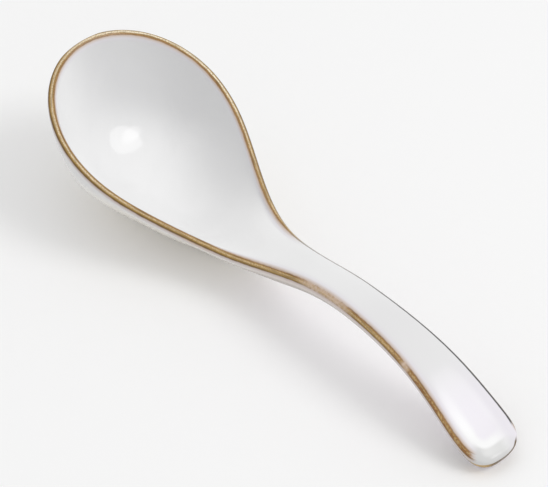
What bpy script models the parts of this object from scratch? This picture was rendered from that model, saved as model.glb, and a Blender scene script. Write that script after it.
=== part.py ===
"""Serving spoon in stoneware: a clay body, white glaze above and below it, and a brown band on the edge."""

import bmesh
import bpy
import numpy as np

# Whole spoon, in metres
LENGTH = 0.240
BOWL_WIDTH = 0.0755
NECK_WIDTH = 0.0165
TIP_WIDTH = 0.0251
LIP = 0.0034

# Heights of the edge line above the table
FRONT_HEIGHT = 0.0564
NECK_HEIGHT = 0.0212
CREST_HEIGHT = 0.0321
TIP_HEIGHT = 0.0075

# Slopes of the edge line at its two ends
FRONT_SLOPE = -0.375
TIP_SLOPE = -0.30

# Places along the spoon, measured from the front of the edge line
BOWL_FULL_UNTIL = 0.0200
WIDEST_AT = 0.0384
BOWL_FOOT_AT = 0.0600
BOWL_ROUND_AT = 0.0650
BOWL_ENDS_AT = 0.0816
NECK_LOW_AT = 0.0991
HANDLE_STARTS_AT = 0.1176
HANDLE_FORMED_AT = 0.1296
NARROWEST_AT = 0.1442
CREST_AT = 0.1596

# Places measured back from the end of the edge line at the tip
TIP_FOOT_BACK = 0.0055
TIP_WIDEST_BACK = 0.0117
TIP_STARTS_BACK = 0.0470

# Thicknesses: the handle above and below its edge line, the neck, and the floor of the bowl
HANDLE_CROWN = 0.0010
HANDLE_DEPTH = 0.0062
NECK_DEPTH = 0.0090
BOWL_FLOOR = 0.0043

# How full the sections are: 0 is round, more is squarer and less is more pointed
INNER_FULL_FRONT = 0.62
INNER_FULL_BACK = -0.32
OUTER_FULL_FRONT = 0.68
OUTER_FULL_BACK = -0.40
HANDLE_FULL = 0.45
TIP_FULL = -0.10

# How steeply the walls meet the edge: 1 is a slope and 2 is upright
WALL_STEEPNESS = 1.3
HANDLE_STEEPNESS = 2.0

# How flat the top of the handle is before it rounds over: 2 is an arc, and more is flatter
HANDLE_FLATNESS = 3.4

# Layers of glaze, and the gap left between neighbours
GLAZE = 0.0006
GAP = 0.0003

# Where the round underside is cut flat by the table, and the bare clay ovals there
BOWL_SINK = 0.0019
TIP_SINK = 0.0004
FOOT_RISE = 0.0003
FOOT_ROUND = 0.0008
FOOT_ROOT = 0.0010
BOWL_FOOT_LENGTH = 0.024
BOWL_FOOT_WIDTH = 0.016
TIP_FOOT_LENGTH = 0.008
TIP_FOOT_WIDTH = 0.013

# How far the brown band reaches along the surface, inwards and outwards from the top of the edge
BOWL_BAND_IN = 0.0010
BOWL_BAND_OUT = 0.0018
HANDLE_BAND_IN = -0.0002
HANDLE_BAND_OUT = 0.0030

# Degrees round the corner of the tip where the brown band stops
BAND_STOPS = 30.0

# Points along half of the outline, and rows across it
FRONT_STEPS = 10
SHOULDER_STEPS = 13
HANDLE_STEPS = 9
UPPER_ROWS = 8
BAND_ROWS = 5
UNDER_ROWS = 10

# Sizes that follow from those above
EDGE_LENGTH = LENGTH - LIP
HALF_LIP = LIP / 2
BOWL_HALF = BOWL_WIDTH / 2 - HALF_LIP
NECK_HALF = NECK_WIDTH / 2 - HALF_LIP
TIP_HALF = TIP_WIDTH / 2 - HALF_LIP
TIP_FOOT_AT = EDGE_LENGTH - TIP_FOOT_BACK
TIP_WIDEST_AT = EDGE_LENGTH - TIP_WIDEST_BACK
TIP_STARTS_AT = EDGE_LENGTH - TIP_STARTS_BACK
CENTRE_X = EDGE_LENGTH / 2
TIP_GAP = np.degrees(GAP / TIP_HALF)
TIP_TURNS = [0.0, BAND_STOPS / 2, BAND_STOPS, BAND_STOPS + TIP_GAP, 46.0, 60.0, 75.0, 90.0]
BAND_STEPS = FRONT_STEPS + SHOULDER_STEPS + HANDLE_STEPS + 2


def bezier(points, count):
    """Points along a cubic curve."""
    t = np.linspace(0.0, 1.0, count)[:, None]
    a, b, c, d = np.asarray(points, float)
    return (1 - t) ** 3 * a + 3 * t * (1 - t) ** 2 * b + 3 * t**2 * (1 - t) * c + t**3 * d


def level_curve(start, end, first, last, count=120):
    """A cubic curve that is level at both ends, with handles given as shares of its run."""
    run = end[0] - start[0]
    handles = [(start[0] + first * run, start[1]), (end[0] - last * run, end[1])]
    return bezier([start, *handles, end], count)


def joined(*curves):
    """Curves end to end, each shared point kept once."""
    return np.concatenate([curves[0]] + [curve[1:] for curve in curves[1:]])


def blend(x, start, end):
    """A smooth rise from 0 at start to 1 at end."""
    t = np.clip((x - start) / (end - start), 0.0, 1.0)
    return t * t * (3 - 2 * t)


def half_outline():
    """The edge line seen from above, from the front of the bowl to the tip, on the +Y side."""
    turn = np.radians(np.linspace(0.0, 90.0, FRONT_STEPS + 1))
    front = np.c_[WIDEST_AT * (1 - np.cos(turn)), BOWL_HALF * np.sin(turn)]
    narrowest = (NARROWEST_AT, NECK_HALF)
    shoulder = level_curve((WIDEST_AT, BOWL_HALF), narrowest, 0.29, 0.55, SHOULDER_STEPS + 1)
    handle = level_curve(narrowest, (TIP_WIDEST_AT, TIP_HALF), 0.53, 0.13, HANDLE_STEPS + 1)
    turn = np.radians(TIP_TURNS)
    tip = np.c_[
        TIP_WIDEST_AT + TIP_WIDEST_BACK * np.sin(turn) ** 0.7,
        TIP_HALF * np.cos(turn).clip(0.0) ** 0.7,
    ]
    tip[-1] = EDGE_LENGTH, 0.0
    return joined(front, shoulder, handle, tip)


def edge_height(x):
    """Height of the edge line: high at the front, low at the neck, high on the arch, low at the tip."""
    neck = (NECK_LOW_AT, NECK_HEIGHT)
    crest = (CREST_AT, CREST_HEIGHT)
    lean = 0.60 * NECK_LOW_AT
    front = [(0.0, FRONT_HEIGHT), (lean, FRONT_HEIGHT + FRONT_SLOPE * lean)]
    bowl = bezier([*front, (0.80 * NECK_LOW_AT, NECK_HEIGHT), neck], 120)
    arch = level_curve(neck, crest, 0.29, 0.39)
    fall = EDGE_LENGTH - CREST_AT
    lean = 0.30 * fall
    tip = [(EDGE_LENGTH - lean, TIP_HEIGHT - TIP_SLOPE * lean), (EDGE_LENGTH, TIP_HEIGHT)]
    droop = bezier([crest, (CREST_AT + 0.62 * fall, CREST_HEIGHT), *tip], 120)
    line = joined(bowl, arch, droop)
    return np.interp(x, line[:, 0], line[:, 1])


def bowl_share(x, last):
    """1 in the bowl, falling smoothly to 0 where the handle starts."""
    line = level_curve((WIDEST_AT, 1.0), (HANDLE_STARTS_AT, 0.0), 0.45, last)
    return np.interp(x, line[:, 0], line[:, 1])


def handle_share(x):
    """0 in the bowl, rising smoothly to 1 on the handle."""
    return blend(x, BOWL_ENDS_AT, HANDLE_FORMED_AT)


def fullness(x, front, back):
    """How full the section of the bowl is, from its front to its back."""
    return front + (back - front) * blend(x, BOWL_FULL_UNTIL, BOWL_ROUND_AT)


def section(turn, full, steep):
    """Share of the depth reached at a turn, from 0 at the edge to 1 at the middle."""
    return np.sin(turn) ** (2 / steep) * (1 + full * np.cos(turn) ** 2)


def outer_depth(x):
    """How far the underside hangs below the edge line, along the middle."""
    at_foot = edge_height(BOWL_FOOT_AT) - HALF_LIP + BOWL_SINK
    at_tip = edge_height(TIP_WIDEST_AT) - HALF_LIP + TIP_SINK
    bowl = (at_foot - NECK_DEPTH) * bowl_share(x, 0.45) / bowl_share(BOWL_FOOT_AT, 0.45)
    neck = (NECK_DEPTH - HANDLE_DEPTH) * (1 - blend(x, NECK_LOW_AT, CREST_AT))
    tip = (at_tip - HANDLE_DEPTH) * blend(x, TIP_STARTS_AT, TIP_WIDEST_AT)
    return HANDLE_DEPTH + bowl + neck + tip


def inner_depth(x):
    """How far the hollow of the bowl goes below the edge line, along the middle."""
    at_foot = edge_height(BOWL_FOOT_AT) - HALF_LIP - BOWL_FLOOR
    return at_foot * bowl_share(x, 0.50) / bowl_share(BOWL_FOOT_AT, 0.50)


def normals_of(points):
    """Outward directions at the points of a grid, shared where points coincide."""
    rows, count = points.shape[:2]
    places = np.round(points.reshape(-1, 3) / 1e-6).astype(np.int64)
    same = np.unique(places, axis=0, return_inverse=True)[1].reshape(rows, count)
    right = np.roll(points, -1, axis=1)
    faces = np.cross(right[1:] - points[:-1], points[1:] - right[:-1])
    faces /= np.linalg.norm(faces, axis=2)[:, :, None]
    total = np.zeros((same.max() + 1, 3))
    for corner in (same[:-1], same[1:], np.roll(same[:-1], -1, axis=1), np.roll(same[1:], -1, axis=1)):
        np.add.at(total, corner.reshape(-1), faces.reshape(-1, 3))
    return (total / np.linalg.norm(total, axis=1)[:, None])[same]


class Skin:
    """The glazed surface as a grid of rows round the spoon, from the middle of the top to that below."""

    def __init__(self):
        half = half_outline()
        self.edge = np.concatenate([half, half[-2:0:-1] * (1, -1)])
        ahead = np.roll(self.edge, -1, axis=0) - self.edge
        behind = np.roll(ahead, 1, axis=0)
        step_ahead = np.linalg.norm(ahead, axis=1)[:, None]
        step_behind = np.linalg.norm(behind, axis=1)[:, None]
        along = ahead * step_behind / step_ahead + behind * step_ahead / step_behind
        along /= np.linalg.norm(along, axis=1)[:, None]
        self.out = np.c_[-along[:, 1], along[:, 0]]
        self.inner_rim = self.edge - self.out * HALF_LIP
        self.outer_rim = self.edge + self.out * HALF_LIP
        self.inner_spine = self.spine(self.inner_rim)
        self.outer_spine = self.spine(self.outer_rim)
        share = handle_share(self.edge[:, 0])
        inwards = BOWL_BAND_IN + (HANDLE_BAND_IN - BOWL_BAND_IN) * share
        outwards = BOWL_BAND_OUT + (HANDLE_BAND_OUT - BOWL_BAND_OUT) * share
        upper_end, band_start, band_end, under_start = self.turns_at(
            [-inwards - GAP, -inwards, outwards, outwards + GAP]
        )
        level = np.zeros(len(share))
        upper = self.rows(level - 90, level, UPPER_ROWS)[:-1] + self.rows(level, upper_end, 2)
        band = self.rows(band_start, band_end, BAND_ROWS)
        under = self.rows(under_start, level + 270, UNDER_ROWS)
        self.points = np.array(upper + band + under)
        self.share_out(len(upper), len(upper) + len(band))

    def share_out(self, band_first, band_end):
        """Which cells of the grid each layer covers, with even gaps along their borders."""
        count = len(self.edge)
        row = np.arange(len(self.points) - 1)[:, None]
        step = np.arange(count)[None, :]
        step = np.minimum(step, count - 1 - step)
        beside_band = (row >= band_first) & (row < band_end - 1)
        self.on_band = beside_band & (step < BAND_STEPS)
        self.on_upper = (row < band_first - 1) & (step >= 0)
        self.on_upper |= (row < band_end - 1) & (step > BAND_STEPS)
        self.on_under = (row >= band_end) & (step >= 0)
        self.normals = normals_of(self.points)
        for a, b in ((band_first - 1, band_first), (band_end - 1, band_end)):
            middle = self.normals[a] + self.normals[b]
            middle /= np.linalg.norm(middle, axis=1)[:, None]
            self.normals[a] = self.normals[b] = middle
        for a, b in ((BAND_STEPS, BAND_STEPS + 1), (count - BAND_STEPS, count - BAND_STEPS - 1)):
            middle = self.normals[:, a] + self.normals[:, b]
            middle /= np.linalg.norm(middle, axis=1)[:, None]
            self.normals[:, a] = self.normals[:, b] = middle

    def spine(self, rim):
        """The point of the middle line that each point of a rim looks to."""
        x = np.clip(rim[:, 0], WIDEST_AT, TIP_WIDEST_AT)
        return np.c_[x, np.zeros(len(x))]

    def dome(self, plan):
        """Height of the handle's rounded top."""
        spine = self.spine(self.outer_rim)
        whole = np.linalg.norm(self.outer_rim - spine, axis=1)
        part = (np.linalg.norm(plan - spine, axis=1) / whole).clip(0.0, 1.0)
        rise = (HALF_LIP + HANDLE_CROWN) * (1 - part**HANDLE_FLATNESS) ** 0.5
        return edge_height(plan[:, 0]) - HALF_LIP + rise

    def topped(self, plan, bowl):
        """Points above a plan, passing from the height of the bowl to that of the handle."""
        share = handle_share(plan[:, 0])
        return np.c_[plan, bowl * (1 - share) + self.dome(plan) * share]

    def upper(self, turn):
        """Points of the hollow and of the handle's top, from 90 degrees at the middle to 0 at the edge."""
        depth = inner_depth(self.inner_spine[:, 0])
        full = fullness(self.inner_rim[:, 0], INNER_FULL_FRONT, INNER_FULL_BACK)
        plan = self.inner_spine + (self.inner_rim - self.inner_spine) * np.cos(turn)[:, None]
        fall = depth * section(turn, full, WALL_STEEPNESS)
        return self.topped(plan, edge_height(plan[:, 0]) - HALF_LIP - fall)

    def lip(self, turn):
        """Points of the rounded edge, from 0 at its inner side to 180 degrees at its outer side."""
        plan = self.edge - self.out * HALF_LIP * np.cos(turn)[:, None]
        return self.topped(plan, edge_height(plan[:, 0]) - HALF_LIP * (1 - np.sin(turn)))

    def under(self, turn):
        """Points of the underside, from 0 at the edge to 90 degrees at the middle, level near the table."""
        depth = outer_depth(self.outer_spine[:, 0])
        share = handle_share(self.outer_spine[:, 0])
        full = fullness(self.outer_rim[:, 0], OUTER_FULL_FRONT, OUTER_FULL_BACK)
        full += (HANDLE_FULL - full) * share
        full += (TIP_FULL - full) * blend(self.outer_spine[:, 0], TIP_STARTS_AT, TIP_WIDEST_AT)
        steep = WALL_STEEPNESS + (HANDLE_STEEPNESS - WALL_STEEPNESS) * share
        plan = self.outer_spine + (self.outer_rim - self.outer_spine) * np.cos(turn)[:, None]
        fall = depth * section(turn, full, steep)
        height = edge_height(plan[:, 0]) - HALF_LIP - fall - FOOT_RISE
        return np.c_[plan, (height + np.sqrt(height**2 + FOOT_ROUND**2)) / 2 + FOOT_RISE]

    def row(self, turn):
        """Points at a turn: -90 is the middle of the top, 0 to 180 the rounded edge, 270 the middle below."""
        upper = self.upper(np.radians(np.clip(-turn, 0.0, 90.0)))
        lip = self.lip(np.radians(np.clip(turn, 0.0, 180.0)))
        under = self.under(np.radians(np.clip(turn - 180.0, 0.0, 90.0)))
        return np.where((turn < 0)[:, None], upper, np.where((turn > 180)[:, None], under, lip))

    def rows(self, start, end, steps):
        """Rows of points spaced evenly from one turn to another."""
        return [self.row(start + (end - start) * step / steps) for step in range(steps + 1)]

    def turns_at(self, distances):
        """The turns at some distances along the surface, outwards from the top of the edge."""
        turns = np.arange(-90.0, 271.0)
        points = np.array([self.row(np.full(len(self.edge), turn)) for turn in turns])
        steps = np.linalg.norm(np.diff(points, axis=0), axis=2)
        length = np.concatenate([np.zeros((1, len(self.edge))), np.cumsum(steps, axis=0)])
        length -= length[turns == 90]
        return [
            np.array([np.interp(d, line, turns) for d, line in zip(distance, length.T)])
            for distance in distances
        ]


def sheet(cells, first):
    """Triangles of some cells of a grid, alike on both sides of the middle."""
    count = cells.shape[1]
    faces = []
    for row, i in np.argwhere(cells).tolist():
        a = first + row * count + i
        b = first + row * count + (i + 1) % count
        c = b + count
        d = a + count
        faces += [(a, b, c), (a, c, d)] if i < count // 2 else [(a, b, d), (b, c, d)]
    return faces


def walls(cells, depth):
    """Faces that close a layer along the border of its cells, down to the points that many further on."""
    rows, count = cells.shape
    faces = []
    for row, i in np.argwhere(cells).tolist():
        j = (i + 1) % count
        corners = [(row, i), (row, j), (row + 1, j), (row + 1, i)]
        beside = [(row - 1, i), (row, j), (row + 1, i), (row, i - 1)]
        for side, near in enumerate(beside):
            if near[0] < 0 or near[0] >= rows or cells[near]:
                continue
            a = corners[side][0] * count + corners[side][1]
            b = corners[(side + 1) % 4][0] * count + corners[(side + 1) % 4][1]
            faces.append((b, a, a + depth, b + depth))
    return faces


def solid(name, points, faces):
    """A closed mesh object, with the points that coincide made one."""
    mesh = bpy.data.meshes.new(name)
    mesh.from_pydata((points - (CENTRE_X, 0.0, 0.0)).tolist(), [], faces)
    shape = bmesh.new()
    shape.from_mesh(mesh)
    bmesh.ops.remove_doubles(shape, verts=shape.verts, dist=1e-6)
    loose = [v for v in shape.verts if not v.link_faces]
    bmesh.ops.delete(shape, geom=loose, context="VERTS")
    shape.to_mesh(mesh)
    shape.free()
    obj = bpy.data.objects.new(name, mesh)
    bpy.context.scene.collection.objects.link(obj)
    return obj


def body(name, skin):
    """The clay under the glaze, without its feet."""
    core = skin.points - skin.normals * (GLAZE + GAP)
    everywhere = np.ones((core.shape[0] - 1, core.shape[1]), bool)
    return solid(name, core.reshape(-1, 3), sheet(everywhere, 0))


def coat(name, skin, cells):
    """A layer of glaze on some cells of the skin."""
    outer = skin.points.reshape(-1, 3)
    inner = outer - skin.normals.reshape(-1, 3) * GLAZE
    depth = len(outer)
    backs = [face[::-1] for face in sheet(cells, depth)]
    faces = sheet(cells, 0) + backs + walls(cells, depth)
    return solid(name, np.concatenate([outer, inner]), faces)


def block(name, centre, length, width, bottom, top):
    """A hidden oval block for a Boolean."""
    count = 40
    turn = (np.arange(count) + 0.5) * 2 * np.pi / count
    ring = np.c_[centre + length / 2 * np.cos(turn), width / 2 * np.sin(turn)]
    low = np.c_[ring, np.full(count, bottom)]
    high = np.c_[ring, np.full(count, top)]
    faces = [tuple(range(count))[::-1], tuple(range(count, 2 * count))]
    for i in range(count):
        j = (i + 1) % count
        faces.append((i, j, j + count, i + count))
    obj = solid(name, np.concatenate([low, high]), faces)
    obj.hide_render = True
    obj.hide_viewport = True
    return obj


def combine(obj, tool, operation):
    """A Boolean of an object and a hidden block."""
    modifier = obj.modifiers.new(tool.name, "BOOLEAN")
    modifier.operation = operation
    modifier.solver = "EXACT"
    modifier.object = tool


def paint(obj, colour, roughness):
    """One plain material for the object."""
    material = bpy.data.materials.new(obj.name)
    material.use_nodes = True
    shader = material.node_tree.nodes["Principled BSDF"]
    shader.inputs["Base Color"].default_value = (*colour, 1.0)
    shader.inputs["Roughness"].default_value = roughness
    material.diffuse_color = (*colour, 1.0)
    obj.data.materials.append(material)


for old in list(bpy.data.objects):
    bpy.data.objects.remove(old)

skin = Skin()
clay = body("stoneware_body", skin)
upper_glaze = coat("upper_glaze", skin, skin.on_upper)
under_glaze = coat("under_glaze", skin, skin.on_under)
rim_band = coat("rim_band", skin, skin.on_band)

# Bare clay feet, each through a hole in the coat below
root = FOOT_RISE + GLAZE + GAP + FOOT_ROOT
for place, centre, length, width in (
    ("bowl", BOWL_FOOT_AT, BOWL_FOOT_LENGTH, BOWL_FOOT_WIDTH),
    ("tip", TIP_FOOT_AT, TIP_FOOT_LENGTH, TIP_FOOT_WIDTH),
):
    foot = block(place + "_foot", centre, length, width, 0.0, root)
    hole = block(place + "_hole", centre, length + 2 * GAP, width + 2 * GAP, -GAP, root)
    combine(clay, foot, "UNION")
    combine(under_glaze, hole, "DIFFERENCE")

paint(clay, (0.36, 0.235, 0.14), 0.8)
paint(upper_glaze, (0.84, 0.83, 0.81), 0.15)
paint(under_glaze, (0.84, 0.83, 0.81), 0.15)
paint(rim_band, (0.44, 0.27, 0.12), 0.2)
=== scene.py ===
"""Looks of the stoneware serving spoon: its coats of glaze, bare clay, floor, light and camera."""

import bmesh
import bpy
import numpy as np
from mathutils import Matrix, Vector, kdtree


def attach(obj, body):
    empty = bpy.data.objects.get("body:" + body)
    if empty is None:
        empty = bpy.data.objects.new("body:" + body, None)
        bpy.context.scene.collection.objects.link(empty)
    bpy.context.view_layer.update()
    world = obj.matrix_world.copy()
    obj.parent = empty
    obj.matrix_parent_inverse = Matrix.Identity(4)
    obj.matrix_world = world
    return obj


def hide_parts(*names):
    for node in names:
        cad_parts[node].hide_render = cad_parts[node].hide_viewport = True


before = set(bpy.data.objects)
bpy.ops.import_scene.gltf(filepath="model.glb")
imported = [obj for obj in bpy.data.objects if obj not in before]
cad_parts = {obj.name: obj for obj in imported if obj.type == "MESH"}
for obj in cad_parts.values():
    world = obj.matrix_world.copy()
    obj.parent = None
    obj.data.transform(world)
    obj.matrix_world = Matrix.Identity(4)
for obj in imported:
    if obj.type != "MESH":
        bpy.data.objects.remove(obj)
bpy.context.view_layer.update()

# Whole spoon, in metres, as in the solids
LENGTH = 0.240
BOWL_WIDTH = 0.0755
NECK_WIDTH = 0.0165
TIP_WIDTH = 0.0251
LIP = 0.0034

# Heights of the edge line above the table, and its slopes at the two ends
FRONT_HEIGHT = 0.0564
NECK_HEIGHT = 0.0212
CREST_HEIGHT = 0.0321
TIP_HEIGHT = 0.0075
FRONT_SLOPE = -0.375
TIP_SLOPE = -0.30

# Places along the spoon, measured from the front of the edge line
BOWL_FULL_UNTIL = 0.0200
WIDEST_AT = 0.0384
BOWL_FOOT_AT = 0.0600
BOWL_ROUND_AT = 0.0650
BOWL_ENDS_AT = 0.0816
NECK_LOW_AT = 0.0991
HANDLE_STARTS_AT = 0.1176
HANDLE_FORMED_AT = 0.1296
NARROWEST_AT = 0.1442
CREST_AT = 0.1596

# Places measured back from the end of the edge line at the tip
TIP_FOOT_BACK = 0.0055
TIP_WIDEST_BACK = 0.0117
TIP_STARTS_BACK = 0.0470

# Thicknesses: the handle above and below its edge line, the neck, and the floor of the bowl
HANDLE_CROWN = 0.0010
HANDLE_DEPTH = 0.0062
NECK_DEPTH = 0.0090
BOWL_FLOOR = 0.0043

# How full the sections are: 0 is round, more is squarer and less is more pointed
INNER_FULL_FRONT = 0.62
INNER_FULL_BACK = -0.32
OUTER_FULL_FRONT = 0.68
OUTER_FULL_BACK = -0.40
HANDLE_FULL = 0.45
TIP_FULL = -0.10

# How steeply the walls meet the edge: 1 is a slope and 2 is upright
WALL_STEEPNESS = 1.3
HANDLE_STEEPNESS = 2.0

# How flat the top of the handle is before it rounds over: 2 is an arc, and more is flatter
HANDLE_FLATNESS = 3.4

# How round the tip is seen from above: 1 is an ellipse, and less is squarer
TIP_ROUNDNESS = 0.7

# How far each curve keeps the direction of its two ends, as shares of its run: the outline's shoulder
# and handle, the edge line's bowl, arch and droop, and the bowl running out below the handle, outside
# and inside
SHOULDER_EASE = (0.29, 0.55)
HANDLE_EASE = (0.53, 0.13)
BOWL_EASE = (0.60, 0.20)
ARCH_EASE = (0.29, 0.39)
DROOP_EASE = (0.62, 0.30)
OUTER_EASE = (0.45, 0.45)
INNER_EASE = (0.45, 0.50)

# The coats, and where the round underside is cut flat by the table
GLAZE = 0.0006
BOWL_SINK = 0.0019
TIP_SINK = 0.0004
FOOT_RISE = 0.0003
FOOT_ROUND = 0.0008

# Holes in the coat below, round the bare clay ovals, with a hair of room
FOOT_ROOM = 0.00005
HOLE_TOP = 0.0022
HOLE_POINTS = 40
BOWL_FOOT_LENGTH = 0.024
BOWL_FOOT_WIDTH = 0.016
TIP_FOOT_LENGTH = 0.008
TIP_FOOT_WIDTH = 0.013

# How far the brown band reaches along the surface, inwards and outwards from the top of the edge,
# and the turn of the rounded tip at which it stops
BOWL_BAND_IN = 0.0010
BOWL_BAND_OUT = 0.0018
HANDLE_BAND_IN = -0.0002
HANDLE_BAND_OUT = 0.0030
BAND_STOPS = np.radians(30.0)

# Where the band pales: side of the spoon, place along it from its middle, reach to each end, and amount;
# then how much the pale stretches slant across the band
PALE_STRETCHES = [(-1, 0.0285, 0.0170, 0.80), (-1, 0.0742, 0.0024, 0.95), (1, 0.0480, 0.0080, 0.60)]
PALE_SLANT = 0.8
# Where brown has run thinly below the band, given in the same way
THIN_RUNS = [(-1, -0.0310, 0.0120, 0.80), (1, 0.0120, 0.0140, 0.60)]
# Share of the reach over which such an effect is whole
WHOLE_REACH = 0.45

# The band starts further in at the front of the bowl, and further out on the handle's far edge,
# where a grey line of painted shade comes in as the handle takes shape
FRONT_BAND_WIDER = 0.0003
FAR_EDGE_NARROWER = 0.0001
FAR_LINE_STARTS = (0.50, 0.95)
# The pale crest of the band, partly paler glaze and partly painted highlight: places along the spoon over
# which it fades and how much of it goes, places across the spoon over which it grows towards the far
# side, and the least that it starts from
CREST_FADES = (0.040, 0.080)
CREST_LOSS = 0.75
CREST_GROWS = (-0.020, 0.020)
CREST_LEAST = 0.45

# Painted shade on the bowl's white: outside, it is darker just below the edge, and clears over these
# distances. Inside, it is darker on the wall that faces this way: the more it faces there, and the more
# upright it is
SHADE_BELOW_EDGE = (0.003, 0.026)
SHADED_SIDE = (0.45, -0.90, 0.0)
SHADE_LEAN = (-0.10, 0.70)
SHADE_SLOPE = (0.45, 0.95)
# Places along the handle between which its white turns greyer, and then lilac
GREY_STARTS = (0.135, 0.180)
LILAC_STARTS = (0.198, 0.220)
# A painted highlight near the end turns the lilac white: distances from the edge, places along the tip,
# and places across it
TIP_HIGHLIGHT_REACH = (-0.0080, -0.0050)
TIP_HIGHLIGHT_STARTS = (0.208, 0.228)
TIP_HIGHLIGHT_ENDS = (-0.001, 0.008)
# The end itself greys with painted shade: distances from the edge, shares of the way to the far side
# over which that fades, and how much of it fades
TIP_SHADE_REACH = (-0.0040, -0.0024)
TIP_SHADE_FADES = (0.0, 0.5)
TIP_SHADE_LOSS = 0.6
# The brown line round the bottom of the tip: its height, its climb, the shares of the way to the far side
# over which it climbs, where along the spoon it starts, how much later that is on the far side, and
# where across the spoon painted shade darkens its top
TIP_LINE = 0.0048
TIP_LINE_RISE = 0.0024
TIP_LINE_CLIMBS = (0.0, 0.9)
TIP_CORNERS = (0.2285, 0.2325)
FAR_CORNER_LATER = 0.0072
TIP_LINE_DARKENS = (-0.009, -0.004)

# Fineness of the coats: spacing of points along the edge, rows across it, samples of each curve and row,
# and the distance under which two points are one
EDGE_STEP = 0.0018
TIP_STEP = 0.0007
UPPER_ROWS = 36
BAND_ROWS = 14
UNDER_ROWS = 40
ROW_GRADING = 1.6
CURVE_POINTS = 2000
ROW_SAMPLES = 721
SAME_POINT = 1e-6

# The inner corner of the lip is smoothed on the neck: rows to each side, how many rows further in their
# middle lies than the band, how often and how far, and the shares of the handle's shape over which
# that comes in and goes out
CORNER_ROWS = 9
CORNER_ROWS_IN = 4
CORNER_PASSES = 40
CORNER_PULL = 0.5
CORNER_STARTS = (0.05, 0.35)
CORNER_ENDS = (0.97, 1.0)

# A face whose direction agrees this much with the skin's lies along it, and is shaded as smooth
ALONG_SKIN = 0.5

# Colours
WHITE = (0.855, 0.855, 0.855)
# Painted light: a whiter white inside the bowl's hollow
HOLLOW_LIT_WHITE = (0.895, 0.895, 0.895)
# Greyer white, for clouds in the glaze and for painted shade on the bowl's walls
CLOUD_AND_SHADE_GREY = (0.72, 0.72, 0.725)
# Painted shade on the tip's end wall
TIP_END_SHADE = (0.65, 0.65, 0.645)
HANDLE_GREY = (0.765, 0.76, 0.765)
LILAC = (0.79, 0.765, 0.81)
LAVENDER = (0.74, 0.69, 0.76)
BEIGE = (0.58, 0.47, 0.39)
UNDERSIDE = (0.96, 0.91, 0.82)
HANDLE_BELOW = (0.92, 0.85, 0.90)
# Painted shade: the dark line where the side turns under
TURN_UNDER_SHADE = (0.44, 0.40, 0.36)
HALO = (0.56, 0.465, 0.435)
WALL_TINT = (0.66, 0.58, 0.53)
# The band's pale streak and crest: partly paler glaze, partly painted highlight
CREAM_SHEEN = (0.60, 0.42, 0.21)
CREST_SHEEN = (0.95, 0.83, 0.62)
INNER_BROWN = (0.34, 0.185, 0.08)
OCHRE = (0.37, 0.225, 0.055)
PALE_OCHRE = (0.50, 0.325, 0.11)
RUST = (0.33, 0.145, 0.045)
DARK_BROWN = (0.12, 0.068, 0.02)
# Painted shade: the grey line on the handle's far edge
DARK_SHADE_GREY = (0.04, 0.037, 0.037)
FAINT_SHADE_GREY = (0.26, 0.23, 0.21)
FADED = (0.64, 0.50, 0.40)
CLAY = (0.36, 0.235, 0.14)
CLAY_SPECK = (0.16, 0.09, 0.05)
FLOOR = (0.93, 0.93, 0.93)

# Gloss: how strongly the glaze mirrors, where 0.5 is plain glass, and its roughness, with what the clouds
# and the brown add to that and what the hollow of the bowl takes off
GLAZE_SHINE = 0.30
GLAZE_ROUGHNESS = 0.15
CLOUDS_ROUGHER = 0.06
BROWN_ROUGHER = 0.05
HOLLOW_SMOOTHER = 0.14

# Noise in the glaze, in waves to the metre: clouds in the white, and waves and ripples of the surface,
# with the weight of the waves against the ripples, and their depth
CLOUDS = 28.0
WAVES = 22.0
RIPPLES = 90.0
WAVES_WEIGHT = 3.0
WAVES_DEPTH = 0.00008
# Noise on the band, in waves to the millimetre: streaks, along and across it, and dark streaks in a layer
# of their own, blotches, grain, and the wandering of the borders; then how wide these wander, and which
# share of that the line under the tip takes
STREAKS = (0.06, 2.2)
DARK_STREAKS = (0.12, 1.6, 7.0)
BLOTCHES = 0.8
GRAIN = 1.6
WANDERING = 0.35
WANDER = 0.5
TIP_WANDER = 0.6

# Smooth rises that the glaze's colours follow: start and end, then low and high where not 0 and 1.
# White: thinner by the clouds, and tinted by how far it faces down
CLOUDS_THIN = (0.35, 0.65, 0.0, 0.14)
FACES_DOWN = (0.25, 0.75)
# Beside the band: in millimetres before its end, past the top of the edge, within its inner border and,
# for the last two, within its outer one
BY_BAND = (-1.5, 2.0)
INSIDE = (0.5, 0.0)
OUTSIDE = (0.5, 1.0)
LAVENDER_STARTS = (-3.4, -0.8, 0.0, 0.45)
BEIGE_STARTS = (-1.6, 0.3)
WALL_TINT_STARTS = (-6.0, -3.0, 0.0, 0.8)
HALO_STARTS = (-1.9, 0.0, 0.0, 0.85)
# Painted shade, a dark line where the side turns under: by how far that faces down, with how much sooner
# it starts on the handle, and how dark it gets on the bowl and on the handle
TURN_STARTS = (0.48, 0.64)
TURN_ENDS = (0.80, 0.66)
TURN_SOONER = 0.30
BOWL_TURN = 0.35
HANDLE_TURN = 0.90
# Thin runs: in millimetres within the band's borders, and by the streaks
RUN_STARTS = (0.0, 0.5)
RUN_ENDS = (-2.2, -0.4)
RUN_STREAKS = (0.42, 0.62)
# Extent of the brown: in millimetres within the borders and before the end, which the streaks make ragged
BROWN_STARTS = (-0.30, 0.35)
BROWN_ENDS = (0.0, 2.5)
END_RAGGED = 9.0
END_SOONER = 4.0
# A point's part of the band's width, from the inner border: the least width that counts, in millimetres,
# and how far the streaks pull the part about
LEAST_WIDTH = 0.1
STREAK_PULL = 0.30
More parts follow.
